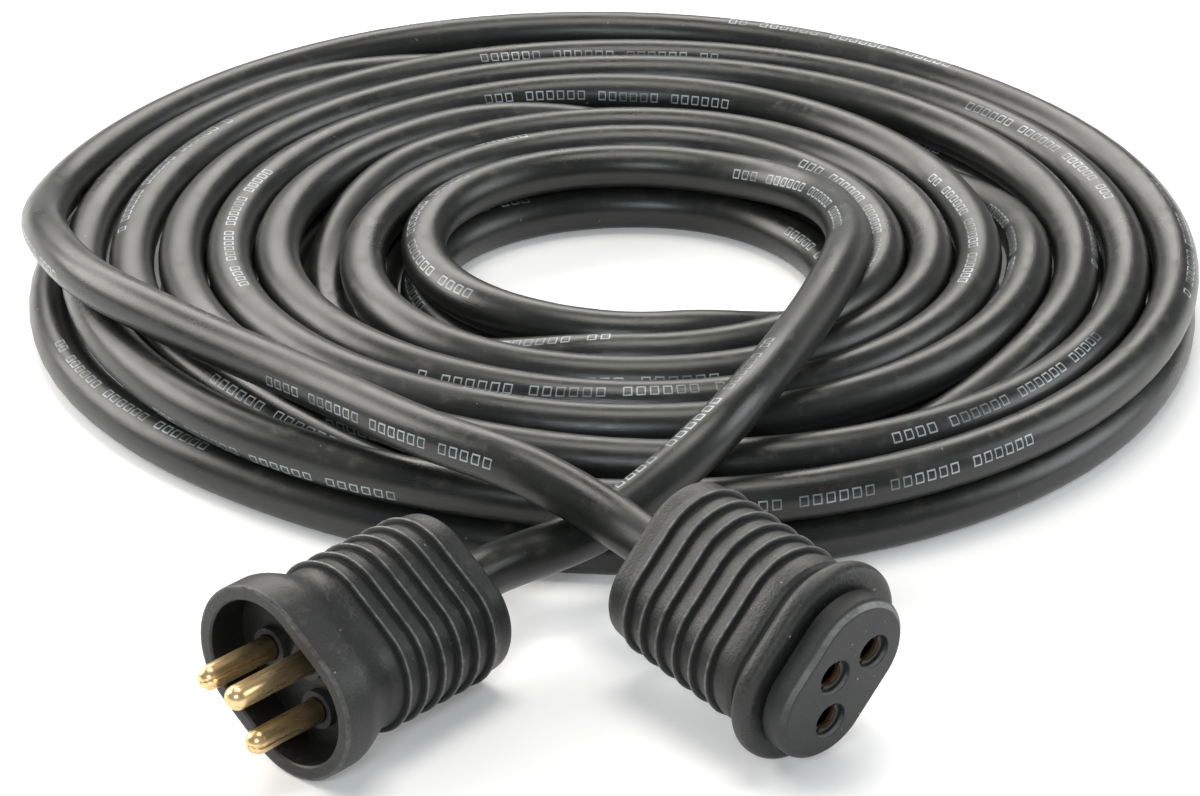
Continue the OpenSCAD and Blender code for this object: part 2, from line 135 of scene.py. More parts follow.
# straight stretch of the cord behind a connector
STRAIGHT = 12
PLUG_POINTS = [
    (-10, -129.5, 16.5), (5.5, -120.5, 24), (14.5, -111, 28.5), (25.5, -88.5, 30), (32.5, -67, 28),
    (37.5, -50, 26.5), (42, -33, 25.5), (45, -15.5, 23.5), (44, 3, 21), (38.5, 20.5, 18),
]
SOCKET_POINTS = [
    (-121.8, 45, 15.5), (-128.2, 18.5, 17.8), (-128, -1.5, 21.0), (-122.5, -20.5, 23.6),
    (-113.5, -38, 25), (-101.5, -52, 25.5), (-87, -66, 25.5), (-71.5, -80.5, 26),
    (-55, -97.5, 27), (-39, -113.5, 28), (-22, -126.5, 28),
]


def ease(x):
    x = np.clip(x, 0, 1)
    return x * x * (3 - 2 * x)


def hump(a, rise_from, rise_span, fall_from, fall_span):
    return ease((a - rise_from) / rise_span) * (1 - ease((a - fall_from) / fall_span))


def coil(a):
    """Points of the coil at the given degrees wound, with the slight waviness of a real cord."""
    a = np.asarray(a, float)
    r, z = np.full(a.shape, INNER_R), np.ones(a.shape)
    for n, (at, span) in CHANGES.items():
        s = ease((a - at + span / 2) / span)
        if n % 2 == 0:
            r = r + COLUMN * s
        else:
            z = z + (-s if n % 4 == 1 else s)
    from_swell = np.abs((a - SWELL_AT + 180) % 360 - 180)
    r = r + SWELL * (1 - ease(from_swell / SWELL_WIDTH))
    # the lower outermost turn leans out under the free end, most at the left back
    r = r + 5 * hump(a, 4442, 46, 4515, 40)
    r = r + 3 * hump(a, 4430, 40, 4488, 44)
    t = np.radians(a)
    free = ease((a - START) / 60) * ease((END - a) / 60)
    r = r + free * (0.14 * np.sin(1.37 * t + 0.4) + 0.11 * np.sin(2.61 * t + 1.9) + 0.06 * np.sin(5.3 * t))
    wave = 0.14 * np.sin(1.83 * t + 2.2) + 0.10 * np.sin(3.17 * t + 0.7) + 0.2
    height = CORD_D / 2 + LAYER * z + free * z * wave
    return np.stack([r * np.cos(t), r * np.sin(t), height], -1)


def spline(points, first, last, step=2.4):
    """Smooth curve through the points, with the given unit directions at its two ends."""
    p = np.asarray(points, float)
    h = np.linalg.norm(np.diff(p, axis=0), axis=1)
    n = len(p)
    a, b = np.zeros((n, n)), np.zeros((n, 3))
    a[0, 0] = a[-1, -1] = 1
    b[0], b[-1] = first, last
    for i in range(1, n - 1):
        a[i, i - 1], a[i, i], a[i, i + 1] = h[i], 2 * (h[i] + h[i - 1]), h[i - 1]
        b[i] = 3 * (h[i] * (p[i] - p[i - 1]) / h[i - 1] + h[i - 1] * (p[i + 1] - p[i]) / h[i])
    m = np.linalg.solve(a, b)
    out = []
    for i in range(n - 1):
        k = max(2, int(round(h[i] / step)))
        for t in np.arange(k) / k:
            out.append(
                (2 * t**3 - 3 * t * t + 1) * p[i] + (t**3 - 2 * t * t + t) * h[i] * m[i]
                + (3 * t * t - 2 * t**3) * p[i + 1] + (t**3 - t * t) * h[i] * m[i + 1]
            )
    out.append(p[-1])
    return np.array(out)


def heading(a):
    """Unit direction of the coil at a degrees wound."""
    q = coil(np.array([a - 0.3, a + 0.3]))
    v = q[1] - q[0]
    return v / np.linalg.norm(v)


plug_out, socket_out = -PLUG.rot[:, 2], -SOCKET.rot[:, 2]
plug_exit = PLUG.at - COIL_AT + PLUG_REAR * plug_out
socket_exit = SOCKET.at - COIL_AT + SOCKET_REAR * socket_out
turns = coil(np.arange(START, END + 0.01, 4.0))
near = spline(
    [plug_exit, plug_exit + STRAIGHT * plug_out] + PLUG_POINTS + [turns[0]], plug_out, heading(START)
)
far = spline(
    [turns[-1]] + SOCKET_POINTS + [socket_exit + STRAIGHT * socket_out, socket_exit],
    heading(END), -socket_out,
)
route = (np.vstack([near[:-1], turns, far[1:]]) + COIL_AT) * MM


# ---------------------------------------------------------------- mesh helpers
def new_object(name, vertices, faces, smooth=True):
    mesh = bpy.data.meshes.new(name)
    mesh.from_pydata([tuple(map(float, v)) for v in vertices], [], [tuple(map(int, f)) for f in faces])
    mesh.validate()
    mesh.update()
    if smooth:
        mesh.polygons.foreach_set("use_smooth", [True] * len(mesh.polygons))
    obj = bpy.data.objects.new(name, mesh)
    bpy.context.collection.objects.link(obj)
    return obj


def clean(obj, sharp, merge=None):
    """Turns all faces outward and marks the edges over the angle sharp, in degrees."""
    bm = bmesh.new()
    bm.from_mesh(obj.data)
    if merge:
        bmesh.ops.remove_doubles(bm, verts=bm.verts, dist=merge)
    bmesh.ops.recalc_face_normals(bm, faces=bm.faces)
    bm.to_mesh(obj.data)
    bm.free()
    obj.data.set_sharp_from_angle(angle=math.radians(sharp))


def cord_mesh(name, points, radius, sides=24):
    """Round tube whose UV gives the distance along it in decimetres (u) and the way round (v)."""
    p = np.asarray(points, float)
    n = len(p)
    t = np.gradient(p, axis=0)
    t /= np.linalg.norm(t, axis=1)[:, None]
    side = np.cross(t, [0, 0, 1.0])
    side /= np.linalg.norm(side, axis=1)[:, None]
    up = np.cross(side, t)
    s = np.r_[0, np.cumsum(np.linalg.norm(np.diff(p, axis=0), axis=1))]
    # the printed line wanders round the cord as it was wound
    bearing = np.arctan2(p[:, 1] - COIL_AT[1] * MM, p[:, 0] - COIL_AT[0] * MM)
    turn = 0.5 * np.pi + 0.5 * np.sin(bearing) + 0.8 * np.sin(s * 2.3 + 0.6) + 0.4 * np.sin(s * 5.9 + 2.0)
    turn = turn - 1.1 * np.clip(-np.cos(bearing), 0, 1)
    k = 2 * np.pi * np.arange(sides) / sides
    ang = turn[:, None] + k[None, :] - np.pi
    # a little oval and uneven, as a wound cord is
    oval = 1 + 0.006 * np.sin(2 * ang + 9 * s[:, None]) + 0.004 * np.sin(s[:, None] * 61)
    ring = p[:, None, :] + radius * oval[..., None] * (
        np.cos(ang)[..., None] * side[:, None, :] + np.sin(ang)[..., None] * up[:, None, :]
    )
    verts = ring.reshape(-1, 3)
    i = np.arange(n - 1)[:, None] * sides
    j = np.arange(sides)[None, :]
    a, b = i + j, i + (j + 1) % sides
    quads = np.stack([a, b, b + sides, a + sides], -1).reshape(-1, 4)
    faces = quads.tolist() + [list(range(sides))[::-1], list(range((n - 1) * sides, n * sides))]
    obj = new_object(name, verts, faces)
    uv = obj.data.uv_layers.new(name="along")
    whole = np.ones((n - 1, sides))
    u0, u1 = (s[:-1] * 10)[:, None] * whole, (s[1:] * 10)[:, None] * whole
    v0, v1 = (j / sides) * whole, ((j + 1) / sides) * whole
    quad = np.stack([u0, v0, u0, v1, u1, v1, u1, v0], -1).reshape(-1)
    caps = np.zeros(2 * len(uv.data) - len(quad))
    uv.data.foreach_set("uv", np.r_[quad, caps])
    return obj, float(s[-1])


# ---------------------------------------------------------------- node helpers
class Paint:
    """A node material with short calls for the maths that the patterns need."""

    def __init__(self, name):
        self.mat = bpy.data.materials.new(name)
        self.mat.use_nodes = True
        self.tree = self.mat.node_tree
        self.tree.nodes.clear()
        self.out = self.tree.nodes.new("ShaderNodeOutputMaterial")
        self.bsdf = self.tree.nodes.new("ShaderNodeBsdfPrincipled")
        self.link(self.bsdf.outputs[0], self.out.inputs[0])

    def link(self, a, b):
        self.tree.links.new(a, b)

    def put(self, value, socket):
        """Sets a number or a colour on the socket, or links a node's output to it."""
        if isinstance(value, (int, float)):
            socket.default_value = value
        elif isinstance(value, (tuple, list)):
            colour = len(value) == 3 and len(socket.default_value) == 4
            socket.default_value = (*value, 1.0) if colour else value
        else:
            self.link(value, socket)

    def set(self, **values):
        for key, value in values.items():
            self.put(value, self.bsdf.inputs[key.replace("_", " ")])

    def math(self, op, a, b=0.0):
        n = self.tree.nodes.new("ShaderNodeMath")
        n.operation = op
        for value, socket in zip((a, b), n.inputs):
            self.put(value, socket)
        return n.outputs[0]

    def times(self, first, *others):
        for other in others:
            first = self.math("MULTIPLY", first, other)
        return first

    def step(self, value, lo, hi, a=0.0, b=1.0):
        """Smooth change from a to b while the value goes from lo to hi."""
        n = self.tree.nodes.new("ShaderNodeMapRange")
        n.interpolation_type = "SMOOTHSTEP"
        self.put(value, n.inputs["Value"])
        for key, x in (("From Min", lo), ("From Max", hi), ("To Min", a), ("To Max", b)):
            n.inputs[key].default_value = x
        return n.outputs["Result"]

    def band(self, value, rise, fall):
        """1 between the two edges, each given by where it begins and ends, and 0 outside them."""
        return self.times(self.step(value, *rise), self.step(value, *fall, 1.0, 0.0))

    def spot(self):
        return self.tree.nodes.new("ShaderNodeTexCoord").outputs["Object"]

    def mapping(self, vector):
        n = self.tree.nodes.new("ShaderNodeMapping")
        self.link(vector, n.inputs["Vector"])
        return n

    def scaled(self, vector, scale):
        n = self.mapping(vector)
        n.inputs["Scale"].default_value = scale
        return n.outputs[0]

    def drawn(self, vector, lie, stretch):
        """The point in a connector's frame, stretched along its axis."""
        n = self.mapping(vector)
        n.vector_type = "TEXTURE"
        n.inputs["Rotation"].default_value = lie.euler()
        n.inputs["Scale"].default_value = (1.0, 1.0, stretch)
        return n.outputs[0]

    def noise(self, vector, scale, detail=3.0, rough=0.5):
        n = self.tree.nodes.new("ShaderNodeTexNoise")
        self.link(vector, n.inputs["Vector"])
        n.inputs["Scale"].default_value = scale
        n.inputs["Detail"].default_value = detail
        n.inputs["Roughness"].default_value = rough
        return n.outputs[0]

    def cells(self, vector, scale):
        n = self.tree.nodes.new("ShaderNodeTexVoronoi")
        self.link(vector, n.inputs["Vector"])
        n.inputs["Scale"].default_value = scale
        return n.outputs["Distance"]

    def mix(self, fac, a, b):
        n = self.tree.nodes.new("ShaderNodeMix")
        n.data_type = "RGBA"
        self.put(fac, n.inputs[0])
        self.put(a, n.inputs[6])
        self.put(b, n.inputs[7])
        return n.outputs[2]

    def bump(self, height, distance, strength=1.0, under=None):
        n = self.tree.nodes.new("ShaderNodeBump")
        n.inputs["Distance"].default_value = distance
        n.inputs["Strength"].default_value = strength
        self.link(height, n.inputs["Height"])
        if under is not None:
            self.link(under, n.inputs["Normal"])
        return n.outputs[0]

    def along(self, lie, axis, sign=1.0):
        """Place in mm along one of a connector's own axes, or against it with a sign of -1."""
        direction = sign * lie.rot[:, axis]
        n = self.tree.nodes.new("ShaderNodeVectorMath")
        n.operation = "DOT_PRODUCT"
        self.link(self.spot(), n.inputs[0])
        n.inputs[1].default_value = [float(c / MM) for c in direction]
        return self.math("SUBTRACT", n.outputs["Value"], float(lie.at @ direction))

    def depth(self, lie):
        """Depth in mm behind a connector's front face."""
        return self.along(lie, 2, -1.0)

    def oblong(self, lie):
        """Distance in mm from the line between the centres of a connector's round ends."""
        x = self.math("SUBTRACT", self.math("ABSOLUTE", self.along(lie, 0)), END_SPAN / 2)
        x, y = self.math("MAXIMUM", x, 0.0), self.along(lie, 1)
        return self.math("SQRT", self.math("ADD", self.times(x, x), self.times(y, y)))

    def facing_up(self):
        g = self.tree.nodes.new("ShaderNodeNewGeometry")
        s = self.tree.nodes.new("ShaderNodeSeparateXYZ")
        self.link(g.outputs["Normal"], s.inputs[0])
        return s.outputs["Z"]


def specks(p, at, scale, size, share):
    """Small sparse dots: 1 on a dot and 0 elsewhere."""
    dot = p.step(p.cells(at, scale), size, size * 1.5, 1.0, 0.0)
    where = p.step(p.noise(at, scale * 0.8, 2.0), 1 - share, 1 - share + 0.04)
    return p.times(dot, where)


# ---------------------------------------------------------------- materials
# The marks on the cord, in mm along it: one box to a pitch, six boxes and a gap to a group, and a row of
# groups in the middle of each repeat. Half their height is given as a share of the way round the cord.
BOX_PITCH, GROUP, REPEAT, ROW = 2.6, 18.2, 130.0, 62.4
MARK_HALF = 0.030
SHADE = (0.0015, 0.0016, 0.0016)  # colour of the painted shade in grooves and dark corners


def cord_marks(p, along, round_it):
    """Rows of plain small boxes, where the jacket is printed."""
    mm = p.math("MULTIPLY", along, 100.0)
    across = p.math("PINGPONG", mm, BOX_PITCH / 2)
    upright = p.band(across, (0.34, 0.44), (0.58, 0.70))
    width = p.step(across, 0.34, 0.44)
    away = p.math("ABSOLUTE", p.math("SUBTRACT", round_it, 0.5))
    line = p.step(p.math("ABSOLUTE", p.math("SUBTRACT", away, MARK_HALF)), 0.0040, 0.0060, 1.0, 0.0)
    height = p.step(away, MARK_HALF + 0.001, MARK_HALF + 0.004, 1.0, 0.0)
    box = p.math("MAXIMUM", p.times(width, line), p.times(upright, height))
    from_gap = p.math("PINGPONG", p.math("ADD", mm, BOX_PITCH / 2), GROUP / 2)
    group = p.step(from_gap, BOX_PITCH / 2 + 0.05, BOX_PITCH / 2 + 0.15)
    row_at = (REPEAT - ROW) / 2
    row = p.step(p.math("PINGPONG", mm, REPEAT / 2), row_at - 0.05, row_at + 0.05)
    return p.times(box, group, row)


def cord_paint():
    p = Paint("jacket_black")
    at = p.spot()
    uv = p.tree.nodes.new("ShaderNodeUVMap")
    uv.uv_map = "along"
    sep = p.tree.nodes.new("ShaderNodeSeparateXYZ")
    p.link(uv.outputs[0], sep.inputs[0])
    faded = p.step(p.noise(at, 70.0, 2.0), 0.38, 0.60, 0.30, 0.85)
    mark = p.times(cord_marks(p, sep.outputs["X"], sep.outputs["Y"]), faded)
    streak = p.noise(p.scaled(uv.outputs[0], (3.0, 42.0, 1.0)), 4.0, 4.0, 0.6)
    cloud = p.noise(at, 42.0, 4.0, 0.6)
    dust = p.step(p.noise(at, 260.0, 5.0, 0.72), 0.50, 0.80)
    dusty = p.times(dust, p.times(p.step(p.facing_up(), -0.1, 0.9), 0.34))
    base = p.mix(p.step(cloud, 0.3, 0.7), (0.0072, 0.0086, 0.0076), (0.0148, 0.0168, 0.0146))
    base = p.mix(p.step(streak, 0.35, 0.75, 0.0, 0.35), base, (0.027, 0.029, 0.026))
    base = p.mix(dusty, base, (0.128, 0.112, 0.088))
    base = p.mix(p.times(specks(p, at, 620.0, 0.16, 0.30), 0.55), base, (0.30, 0.29, 0.27))
    base = p.mix(mark, base, (0.44, 0.49, 0.52))
    rough = p.math("ADD", p.step(cloud, 0.25, 0.75, 0.23, 0.33), p.times(dusty, 0.6))
    rough = p.math("ADD", rough, p.times(streak, 0.06))
    normal = p.bump(p.noise(at, 2600.0, 2.0), 0.00002, 0.5)
    normal = p.bump(streak, 0.00006, 0.5, normal)
    p.set(Base_Color=base, Roughness=rough, Normal=normal, Specular_IOR_Level=0.5, IOR=1.5)
    return p.mat


def rubber_paint(
    name, dark, light, rough, grain, grain_scale, dusty=0.2,
    ribbed=None, neck=None, edge_of=None, shroud=None,
):
    """Moulded rubber, with what wear, painted shade and painted highlight the piece has.

    ribbed: the connector and the depth of its first rib, for beads painted pale, partly wear and partly
    painted highlight, and for painted shade in the grooves.
    neck: the depths between which a ribbed piece is darkened with painted shade.
    edge_of: the connector whose front edge is painted pale, partly wear and partly a painted highlight that
    is strongest on upward faces.
    shroud: the plug, for the painted shade inside it and its worn rim.
    """
    p = Paint(name)
    at = p.spot()
    cloud = p.noise(at, 75.0, 4.0, 0.6)
    pits = p.noise(at, grain_scale, 3.0, 0.65)
    rub = p.noise(p.scaled(at, (1.0, 1.0, 2.2)), 320.0, 5.0, 0.7)
    up = p.step(p.facing_up(), -0.2, 0.9)
    worn = p.times(p.step(rub, 0.52, 0.80), p.math("ADD", p.times(up, 0.7), 0.3))
    base = p.mix(p.step(cloud, 0.3, 0.7), dark, light)
    base = p.mix(p.step(pits, 0.38, 0.66, 0.0, 0.7), base, tuple(2.0 * c for c in light))
    base = p.mix(p.times(worn, dusty), base, (0.15, 0.145, 0.13))
    base = p.mix(p.times(specks(p, at, 700.0, 0.17, 0.34), 0.6), base, (0.34, 0.33, 0.31))
    value = p.math("ADD", p.step(cloud, 0.25, 0.75, rough - 0.04, rough + 0.06), p.times(worn, 0.10))

    if ribbed:
        lie, first = ribbed
        last = first + (RIBS - 1) * RIB_PITCH
        depth = p.depth(lie)
        from_bead = p.math("PINGPONG", p.math("SUBTRACT", depth, first + 0.2), RIB_PITCH / 2)
        # beads painted pale where rubbed: partly wear, partly painted highlight
        bead = p.times(
            p.step(from_bead, 0.22, 0.42, 1.0, 0.0),
            p.band(depth, (first - 0.6, first - 0.4), (last + 0.5, last + 0.7)),
        )
        base = p.mix(p.times(bead, p.step(rub, 0.35, 0.62, 0.35, 1.0), 0.75), base, (0.185, 0.190, 0.183))
        value = p.math("SUBTRACT", value, p.times(bead, 0.16))
        # painted shade in the groove in front of each bead
        from_groove = p.math("PINGPONG", p.math("SUBTRACT", depth, first - 0.42), RIB_PITCH / 2)
        groove = p.times(
            p.step(from_groove, 0.22, 0.36, 1.0, 0.0),
            p.band(depth, (first - 1.2, first - 1.0), (last - 0.1, last + 0.1)),
        )
        base = p.mix(p.times(groove, 0.8), base, SHADE)
        value = p.math("ADD", value, p.times(groove, 0.35))
        if neck:
            # painted shade in the neck behind the flange
            shade = p.band(depth, (neck[0], neck[0] + 0.3), (neck[1] - 0.5, neck[1]))
            base = p.mix(p.times(shade, 0.85), base, SHADE)
            value = p.math("ADD", value, p.times(shade, 0.35))
    if edge_of:
        # front edge painted pale: partly wear, partly a painted highlight, stronger on upward faces
        edge = p.band(p.depth(edge_of), (0.05, 0.20), (0.75, 1.10))
        base = p.mix(p.times(edge, p.step(rub, 0.30, 0.60, 0.45, 1.0), up), base, (0.25, 0.255, 0.25))
    if shroud:
        depth, radius = p.depth(shroud), p.oblong(shroud)
        # painted shade inside the shroud, fading out towards the mouth
        inside = p.times(
            p.step(radius, MOUTH_IN + 0.15, MOUTH_IN + 0.4, 1.0, 0.0),
            p.step(depth, 0.4, 3.0, 0.0, 0.65),
            p.step(depth, SHROUD_DEPTH + 1.0, SHROUD_DEPTH + 1.4, 1.0, 0.0),
        )
        base = p.mix(inside, base, SHADE)
        rim = p.times(p.step(radius, MOUTH_R - 0.9, MOUTH_R - 0.3), p.step(depth, 0.35, 0.75, 1.0, 0.0))
        base = p.mix(p.times(rim, p.step(rub, 0.36, 0.62, 0.08, 0.75)), base, (0.115, 0.117, 0.112))

    normal = p.bump(pits, 0.00013, grain)
    normal = p.bump(rub, 0.00008, 0.18, normal)
    p.set(Base_Color=base, Roughness=value, Normal=normal, Specular_IOR_Level=0.5, IOR=1.5)
    return p.mat


def metal_paint(name, bright, deep, rough, stain, lip_of=None, root_of=None):
    """Stained metal, streaked along the connector's axis where one is given.

    lip_of: the socket, for contacts with a dull front edge and painted shade inside.
    root_of: the plug, for pins darkened towards the root, partly tarnish and partly painted shade.
    """
    p = Paint(name)
    at = p.spot()
    lie = lip_of or root_of
    tone = p.noise(at, 210.0, 4.0, 0.6)
    scratch = p.noise(p.drawn(at, lie, 14.0) if lie else at, 1300.0, 3.0, 0.6)
    tarnish = p.step(p.noise(p.drawn(at, lie, 3.0) if lie else at, 480.0, 3.0, 0.6), 0.54, 0.74)
    base = p.mix(p.step(tone, 0.3, 0.7), bright, deep)
    base = p.mix(p.step(scratch, 0.50, 0.66, 0.0, 0.45), base, tuple(0.5 * c for c in deep))
    base = p.mix(p.times(tarnish, stain), base, tuple(0.55 * c for c in deep))
    value = p.math("ADD", p.step(scratch, 0.3, 0.7, rough - 0.05, rough + 0.07), p.times(tarnish, 0.10))
    metal = 0.9
    if lip_of:
        # the lip ends at about 1.7 mm of depth, and the painted shade inside begins at 2.2 mm
        depth = p.depth(lip_of)
        inside = p.step(depth, 1.5, 1.9)
        base = p.mix(p.step(depth, 2.2, 3.0), base, (0.006, 0.005, 0.004))
        base = p.mix(inside, (0.050, 0.051, 0.050), base)
        metal = p.times(inside, 0.9)
        value = p.step(inside, 0.0, 1.0, 0.55, rough)
    if root_of:
        # darker brown from the mouth inward, partly tarnish and partly painted shade, and painted shade
        # nearly black where the pin meets its collar
        depth = p.depth(root_of)
        base = p.mix(p.step(depth, 0.5, 6.6, 0.0, 0.80), base, (0.10, 0.060, 0.028))
        base = p.mix(p.step(depth, 6.3, 6.4), base, (0.008, 0.007, 0.006))
    p.set(Base_Color=base, Metallic=metal, Roughness=value, Normal=p.bump(scratch, 0.000006, 0.2))
    return p.mat


def plastic_paint(name, colour):
    p = Paint(name)
    at = p.spot()
    cloud = p.noise(at, 160.0, 3.0)
    base = p.mix(p.step(cloud, 0.3, 0.7), colour, tuple(min(1.0, 1.25 * c) for c in colour))
    normal = p.bump(p.noise(at, 1500.0), 0.00002, 0.3)
    p.set(Base_Color=base, Roughness=p.step(cloud, 0.3, 0.7, 0.38, 0.5), Normal=normal)
    return p.mat


JACKET = cord_paint()
PLUG_RUBBER = rubber_paint(
    "plug_rubber", (0.0055, 0.0062, 0.0058), (0.0100, 0.0109, 0.0103),
    rough=0.42, grain=0.85, grain_scale=1900.0, dusty=0.42, ribbed=(PLUG, PLUG_RIB), shroud=PLUG,
)
SOCKET_RUBBER = rubber_paint(
    "socket_rubber", (0.0070, 0.0077, 0.0072), (0.0135, 0.0145, 0.0135),
    rough=0.46, grain=1.0, grain_scale=1600.0, dusty=0.24, ribbed=(SOCKET, SOCKET_RIB), neck=(10.9, 13.4),
)
NOSE_RUBBER = rubber_paint(
    "nose_rubber", (0.0085, 0.0095, 0.0096), (0.0125, 0.0138, 0.0139),
    rough=0.50, grain=0.45, grain_scale=3200.0, dusty=0.05, edge_of=SOCKET,
)
COLLAR_RUBBER = rubber_paint(
    "collar_rubber", (0.010, 0.0115, 0.012), (0.017, 0.0185, 0.019), rough=0.5, grain=0.4, grain_scale=2400.0,
)
BRASS = metal_paint("pin_brass", (0.87, 0.66, 0.36), (0.78, 0.55, 0.27), rough=0.30, stain=0.10, root_of=PLUG)
BRONZE = metal_paint(
    "contact_bronze", (0.60, 0.34, 0.14), (0.36, 0.19, 0.08), rough=0.36, stain=0.5, lip_of=SOCKET,
)
COPPER = metal_paint("bare_copper", (0.78, 0.40, 0.24), (0.62, 0.28, 0.15), rough=0.35, stain=0.3)
CORE_BLACK = plastic_paint("core_black", (0.03, 0.03, 0.032))
CORE_WHITE = plastic_paint("core_white", (0.74, 0.74, 0.71))
CORE_GREEN = plastic_paint("core_green", (0.05, 0.26, 0.10))


def dress(obj, material):
    obj.data.materials.clear()
    obj.data.materials.append(material)


# ---------------------------------------------------------------- the cord, coil and both free ends
cord, cord_length = cord_mesh("cord", route, CORD_D / 2 * MM)
dress(cord, JACKET)
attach(cord, "root")
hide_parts("cord_coil", "plug_tail", "socket_tail")


# ---------------------------------------------------------------- oblong sweeps
def oblong_ring(r, arc=40, flat=9):
    """Points round an oblong of end radius r, the same number for every r."""
    h = END_SPAN / 2
    a = np.linspace(-np.pi / 2, np.pi / 2, arc)
    right = np.stack([h + r * np.cos(a), r * np.sin(a)], -1)
    x = np.linspace(h, -h, flat + 2)[1:-1]
    top = np.stack([x, np.full(flat, r)], -1)
    return np.vstack([right, top, -right, -top])


def circle(x, y, r, n=48):
    a = 2 * np.pi * np.arange(n) / n
    return np.stack([x + r * np.cos(a), y + r * np.sin(a)], -1)


def rounded(points, radii, steps=5):
    """Rounds the corners of an open outline of (r, depth) points, all by one radius or each by its own."""
    p = [np.array(q, float) for q in points]
    out = [p[0]]
    for i in range(1, len(p) - 1):
        r = radii.get(i, 0) if isinstance(radii, dict) else radii
        a, b = p[i - 1] - p[i], p[i + 1] - p[i]
        la, lb = np.linalg.norm(a), np.linalg.norm(b)
        a, b = a / la, b / lb
        half = math.acos(max(-1, min(1, float(a @ b)))) / 2
        nearly_straight = half > 1.53
        if r <= 0 or nearly_straight:
            out.append(p[i])
            continue
        cut = min(r / math.tan(half), 0.48 * la, 0.48 * lb)
        s, e = p[i] + a * cut, p[i] + b * cut
        for k in range(steps + 1):
            t = k / steps
            out.append((1 - t) ** 2 * s + 2 * t * (1 - t) * p[i] + t * t * e)
    out.append(p[-1])
    return out


class Skin:
    """Collects rings, fills and holes of one closed body in a connector's frame."""

    def __init__(self, lie):
        self.lie, self.verts, self.faces = lie, [], []

    def ring(self, xy, depth):
        start = len(self.verts)
        self.verts += [(x, y, -depth) for x, y in xy]
        return list(range(start, start + len(xy)))

    def walls(self, *rings):
        for a, b in zip(rings, rings[1:]):
            n = len(a)
            self.faces += [(a[i], a[(i + 1) % n], b[(i + 1) % n], b[i]) for i in range(n)]

    def sweep(self, outline):
        """Oblong walls along an outline of (r, depth) points. Gives the first and the last ring."""
        rings = [self.ring(oblong_ring(r), d) for r, d in outline]
        self.walls(*rings)
        return rings[0], rings[-1]

    def fill(self, outer, holes, flip=False):
        """Flat face inside the outer ring and round the holes."""
        bm = bmesh.new()
        edges, where = [], {}
        for loop in [outer] + holes:
            vs = [bm.verts.new(self.verts[i]) for i in loop]
            where.update(zip(vs, loop))
            edges += [bm.edges.new((vs[k], vs[(k + 1) % len(vs)])) for k in range(len(vs))]
        bmesh.ops.triangle_fill(bm, use_beauty=True, use_dissolve=False, edges=edges)
        for f in bm.faces:
            q = [where[v] for v in f.verts]
            p = [np.array(self.verts[i]) for i in q]
            up = np.cross(p[1] - p[0], p[2] - p[0])[2] > 0
            self.faces.append(tuple(q) if up != flip else tuple(q[::-1]))
        bm.free()

    def build(self, name):
        obj = new_object(name, self.lie.place(self.verts), self.faces)
        clean(obj, sharp=32.0, merge=1e-7)
        return obj


def ribs(first):
    """Outline of the shingled ribs, their soft beads and the rear block, and the curve of its corner."""
    crest = GRIP_R + RIB_RISE
    out = []
    for i in range(RIBS):
        d = first + i * RIB_PITCH
        out += [
            (GRIP_R - 0.04, d - 0.55), (GRIP_R - 0.02, d - 0.20), (crest + BEAD * 0.6, d - 0.10),
            (crest + BEAD, d + 0.08), (crest + BEAD, d + 0.30), (crest - 0.10, d + 0.62),
        ]
        if i < RIBS - 1:
            out += [(GRIP_R + RIB_RISE * 0.45, d + 2.2)]
    last = first + (RIBS - 1) * RIB_PITCH
    rear = last + REAR_BLOCK
    top, corner = GRIP_R + RIB_RISE * 0.2, 1.6
    out += [(GRIP_R + RIB_RISE * 0.4, last + 2.2), (top, rear - corner)]
    turn = np.radians([22, 45, 68, 90])
    curve = [(top - corner + corner * math.cos(a), rear - corner + corner * math.sin(a)) for a in turn]
    return out, curve


def close_rear(skin, outer, rear):
    """Rear face with the hole where the cord goes in. Gives the bore's inner end."""
    mouth = skin.ring(circle(0, 0, CORD_D / 2 + 0.45), rear)
    skin.fill(outer, [mouth], flip=True)
    lip = skin.ring(circle(0, 0, CORD_D / 2 + 0.06), rear - 0.4)
    deep = skin.ring(circle(0, 0, CORD_D / 2 + 0.05), rear - JACKET_IN)
    skin.walls(mouth, lip, deep)
    return deep


# ---------------------------------------------------------------- plug body
skin = Skin(PLUG)
STEPS = 12
taper = [
    (
        WAIST_R + (MOUTH_R - WAIST_R) * (1 - float(ease(k / STEPS))),
        LIP_LEN + k / STEPS * (WAIST_DEPTH - LIP_LEN),
    )
    for k in range(STEPS + 1)
]
rib_line, rear_curve = ribs(PLUG_RIB)
face = rounded(
    [(MOUTH_IN, SHROUD_DEPTH), (MOUTH_IN, 0.35), (MOUTH_IN + 0.35, 0.0), (MOUTH_R, 0.0), (MOUTH_R, LIP_LEN)],
    {1: 0.2, 2: 0.25, 3: 0.5},
)
outline = (
    face[:-1] + [(MOUTH_R + 0.02, 2.6), (MOUTH_R, 4.9)] + taper[:-1]
    + rounded([taper[-1]] + rib_line + rear_curve, 0.12, 3)
)
first_ring, last_ring = skin.sweep(outline)
floor_holes = [skin.ring(circle(x, y, COLLAR_HOLE), SHROUD_DEPTH) for x, y, _ in PINS]
skin.fill(first_ring, floor_holes)
back_holes = [skin.ring(circle(x, y, COLLAR_HOLE), FLOOR_BACK) for x, y, _ in PINS]
for a, b in zip(floor_holes, back_holes):
    skin.walls(a, b)
bore = close_rear(skin, last_ring, PLUG_REAR)
back = skin.ring(oblong_ring(ROOM_R), PLUG_REAR - JACKET_IN)
fore = skin.ring(oblong_ring(ROOM_R), FLOOR_BACK)
skin.fill(back, [bore])
skin.walls(back, fore)
skin.fill(fore, back_holes, flip=True)
plug_body = skin.build("plug_body")
dress(plug_body, PLUG_RUBBER)
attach(plug_body, "root")
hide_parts("plug_grip")

